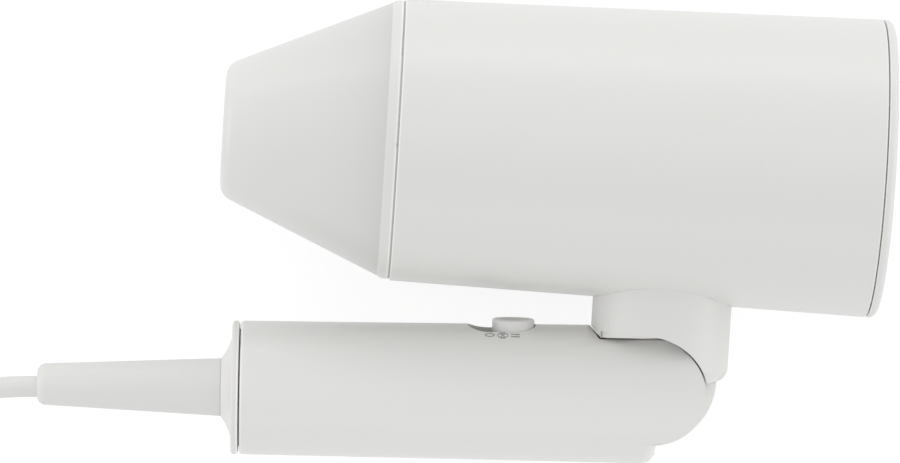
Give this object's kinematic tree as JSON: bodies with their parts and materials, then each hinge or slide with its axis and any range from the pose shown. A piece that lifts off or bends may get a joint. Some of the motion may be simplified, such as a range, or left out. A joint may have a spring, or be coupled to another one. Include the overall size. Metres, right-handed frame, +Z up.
{
  "type": "hair dryer",
  "caption": "Compact folding hair dryer: tapered barrel with a conical nozzle, round neck, tubular handle folded under the barrel, slide switch, and a coiled mains cord with plug.",
  "frame": {"origin": "centre of the footprint of the folded dryer without its cord, on the surface it lies on", "axes": "+X along the barrel from the nozzle to the intake, +Y from the folded handle to the barrel, +Z up, across the barrel as it lies on its side"},
  "size_m": [0.3356, 0.1306, 0.0772],
  "materials": {
    "white_shell": "satin warm white",
    "neck_shell": "satin warm white",
    "white_cap": "satin warm white",
    "relief_rubber": "satin white",
    "cord_rubber": "satin white",
    "plug_plastic": "satin white",
    "dark_plastic": "matt dark grey",
    "button_plastic": "satin white",
    "inner_plastic": "matt grey, glass filled",
    "filter_mesh": "fine black mesh",
    "mica": "matt mica",
    "resistance_wire": "drawn wire",
    "steel": "zinc plated",
    "pin_brass": "nickel plated",
    "circuit_board": "solder mask",
    "black_rubber": "matt black",
    "wire_jacket": "coloured wire jackets",
    "tie_plastic": "satin white"
  },
  "bodies": {
    "handle": {"handle_shell_left": "white_shell", "handle_shell_right": "white_shell", "handle_screws": "steel", "end_cap": "white_cap", "strain_relief": "relief_rubber", "hinge_pin": "steel", "pin_clip": "steel", "switch_body": "dark_plastic", "switch_board": "circuit_board", "inner_cable": "cord_rubber", "cord_clamp": "dark_plastic", "mains_wires": "wire_jacket", "hinge_wires": "wire_jacket", "cord_lead": "cord_rubber", "cord_coil": "cord_rubber", "cord_tail": "cord_rubber", "cord_tie": "tie_plastic", "plug_body": "plug_plastic", "plug_pins": "pin_brass"},
    "barrel": {"barrel_housing": "white_shell", "neck": "neck_shell", "hinge_tongue": "neck_shell", "neck_screws": "steel", "outlet_ring": "inner_plastic", "outlet_grille": "inner_plastic", "ion_emitter": "steel", "heater_tube": "mica", "heater_frame": "mica", "heating_coil": "resistance_wire", "thermostat": "steel", "thermal_fuse": "steel", "terminal_block": "inner_plastic", "neck_wires": "wire_jacket", "ionizer_module": "dark_plastic", "motor_housing": "inner_plastic", "motor_gaskets": "black_rubber", "motor": "steel", "intake_guard": "inner_plastic"},
    "nozzle": {"nozzle": "white_shell", "nozzle_spigot": "dark_plastic"},
    "intake": {"intake_cover": "white_shell", "intake_filter": "filter_mesh"},
    "rotor": {"fan": "inner_plastic", "motor_shaft": "steel"},
    "slider": {"switch_button": "button_plastic", "switch_carrier": "dark_plastic"}
  },
  "joints": [
    {"name": "fold", "type": "hinge", "parent": "handle", "child": "barrel", "pos_m": [0.02892, -0.03792, 0.0386], "axis": [0, 0, -1], "range_deg": [0, 87.59]},
    {"name": "nozzle_pull", "type": "slide", "parent": "barrel", "child": "nozzle", "axis": [-1, 0, 0], "range_m": [0, 0.025]},
    {"name": "intake_pull", "type": "slide", "parent": "barrel", "child": "intake", "axis": [1, 0, 0], "range_m": [0, 0.015]},
    {"name": "fan_spin", "type": "hinge", "parent": "barrel", "child": "rotor", "pos_m": [0.06782, 0.02268, 0.0386], "axis": [1, 0, 0], "continuous": true},
    {"name": "switch_slide", "type": "slide", "parent": "handle", "child": "slider", "axis": [-0.9991, -0.0421, 0], "range_m": [0, 0.006]}
  ]
}
